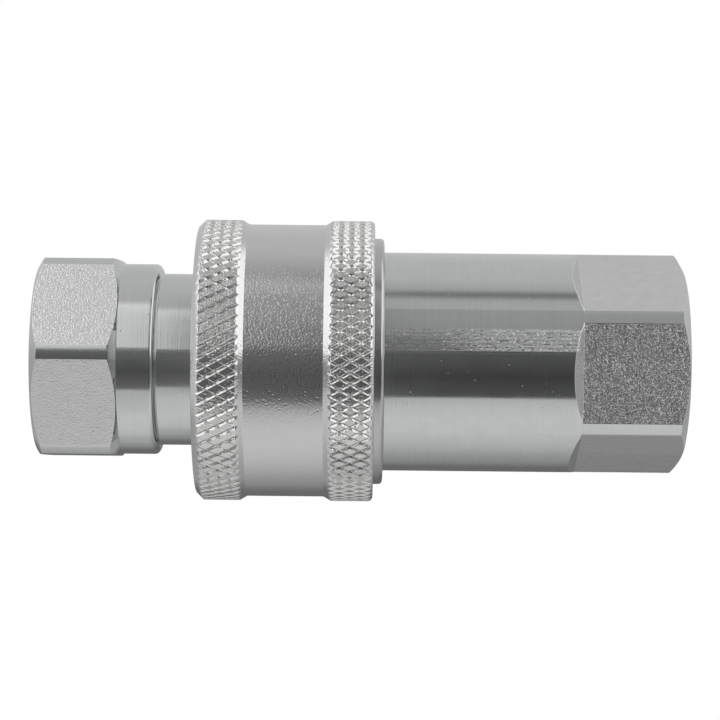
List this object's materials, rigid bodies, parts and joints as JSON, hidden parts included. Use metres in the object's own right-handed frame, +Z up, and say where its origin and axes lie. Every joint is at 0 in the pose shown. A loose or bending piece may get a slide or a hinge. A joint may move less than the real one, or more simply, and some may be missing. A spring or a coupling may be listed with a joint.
{
  "type": "quick disconnect coupler",
  "caption": "In-line hydraulic quick disconnect coupler with hexagon ends, ball lock, knurled sliding sleeve and a poppet valve in each half, shown connected.",
  "frame": {"origin": "on the common axis, at the middle of the overall length", "axes": "+X along the axis from the nipple towards the coupler half's port, +Z up"},
  "size_m": [0.0886, 0.0388, 0.0388],
  "materials": {
    "zinc_steel": "turned steel with clear zinc plating, semi-bright",
    "satin_zinc_steel": "knurled and satin, zinc plated",
    "turned_steel": "bright turned steel",
    "spring_steel": "drawn spring wire, lightly oiled",
    "ball_steel": "ground and polished bearing steel",
    "seal_rubber": "moulded nitrile rubber",
    "ptfe": "white PTFE"
  },
  "bodies": {
    "coupler": {"coupler_body": "zinc_steel", "coupler_adapter": "zinc_steel", "body_o_ring": "seal_rubber", "interface_o_ring": "seal_rubber", "backup_ring": "ptfe", "sleeve_snap_ring": "spring_steel", "coupler_valve_guide": "turned_steel", "coupler_poppet_spring": "spring_steel"},
    "sleeve_spring": {"sleeve_spring": "spring_steel"},
    "sleeve": {"sleeve": "satin_zinc_steel"},
    "ball_1": {"locking_ball_1": "ball_steel"},
    "ball_2": {"locking_ball_2": "ball_steel"},
    "ball_3": {"locking_ball_3": "ball_steel"},
    "ball_4": {"locking_ball_4": "ball_steel"},
    "ball_5": {"locking_ball_5": "ball_steel"},
    "ball_6": {"locking_ball_6": "ball_steel"},
    "ball_7": {"locking_ball_7": "ball_steel"},
    "ball_8": {"locking_ball_8": "ball_steel"},
    "coupler_poppet": {"coupler_poppet": "turned_steel", "coupler_poppet_seal": "seal_rubber"},
    "nipple": {"nipple_body": "zinc_steel", "nipple_valve_guide": "turned_steel", "nipple_snap_ring": "spring_steel", "nipple_poppet_spring": "spring_steel"},
    "nipple_poppet": {"nipple_poppet": "turned_steel", "nipple_poppet_seal": "seal_rubber"}
  },
  "joints": [
    {"name": "sleeve_spin", "type": "hinge", "parent": "coupler", "child": "sleeve_spring", "pos_m": [-0.0045, 0, 0], "axis": [1, 0, 0], "continuous": true},
    {"name": "sleeve_slide", "type": "slide", "parent": "sleeve_spring", "child": "sleeve", "axis": [1, 0, 0], "range_m": [0, 0.0045], "stiffness_N_per_m": 6000, "springref_m": -0.003, "deforming": ["sleeve_spring"]},
    {"name": "ball_1_lift", "type": "slide", "parent": "coupler", "child": "ball_1", "axis": [0, 0, 1], "range_m": [0, 0.00169]},
    {"name": "ball_2_lift", "type": "slide", "parent": "coupler", "child": "ball_2", "axis": [0, -0.7071, 0.7071], "range_m": [0, 0.00169]},
    {"name": "ball_3_lift", "type": "slide", "parent": "coupler", "child": "ball_3", "axis": [0, -1, 0], "range_m": [0, 0.00169]},
    {"name": "ball_4_lift", "type": "slide", "parent": "coupler", "child": "ball_4", "axis": [0, -0.7071, -0.7071], "range_m": [0, 0.00169]},
    {"name": "ball_5_lift", "type": "slide", "parent": "coupler", "child": "ball_5", "axis": [0, 0, -1], "range_m": [0, 0.00169]},
    {"name": "ball_6_lift", "type": "slide", "parent": "coupler", "child": "ball_6", "axis": [0, 0.7071, -0.7071], "range_m": [0, 0.00169]},
    {"name": "ball_7_lift", "type": "slide", "parent": "coupler", "child": "ball_7", "axis": [0, 1, 0], "range_m": [0, 0.00169]},
    {"name": "ball_8_lift", "type": "slide", "parent": "coupler", "child": "ball_8", "axis": [0, 0.7071, 0.7071], "range_m": [0, 0.00169]},
    {"name": "nipple_swivel", "type": "hinge", "parent": "coupler", "child": "nipple", "pos_m": [-0.0116, 0, 0], "axis": [1, 0, 0], "continuous": true},
    {"name": "poppet_shift", "type": "slide", "parent": "coupler", "child": "coupler_poppet", "axis": [1, 0, 0], "range_m": [-0.002, 0.002], "stiffness_N_per_m": 1500, "deforming": ["coupler_poppet_spring"]},
    {"name": "nipple_poppet_shift", "type": "slide", "parent": "nipple", "child": "nipple_poppet", "axis": [1, 0, 0], "range_m": [-0.002, 0.002], "deforming": ["nipple_poppet_spring"]}
  ],
  "couplings": [
    {"joint": "ball_1_lift", "follows": "sleeve_slide", "ratio": 0.37333},
    {"joint": "ball_2_lift", "follows": "sleeve_slide", "ratio": 0.37333},
    {"joint": "ball_3_lift", "follows": "sleeve_slide", "ratio": 0.37333},
    {"joint": "ball_4_lift", "follows": "sleeve_slide", "ratio": 0.37333},
    {"joint": "ball_5_lift", "follows": "sleeve_slide", "ratio": 0.37333},
    {"joint": "ball_6_lift", "follows": "sleeve_slide", "ratio": 0.37333},
    {"joint": "ball_7_lift", "follows": "sleeve_slide", "ratio": 0.37333},
    {"joint": "ball_8_lift", "follows": "sleeve_slide", "ratio": 0.37333},
    {"joint": "nipple_poppet_shift", "follows": "poppet_shift", "ratio": 1}
  ]
}
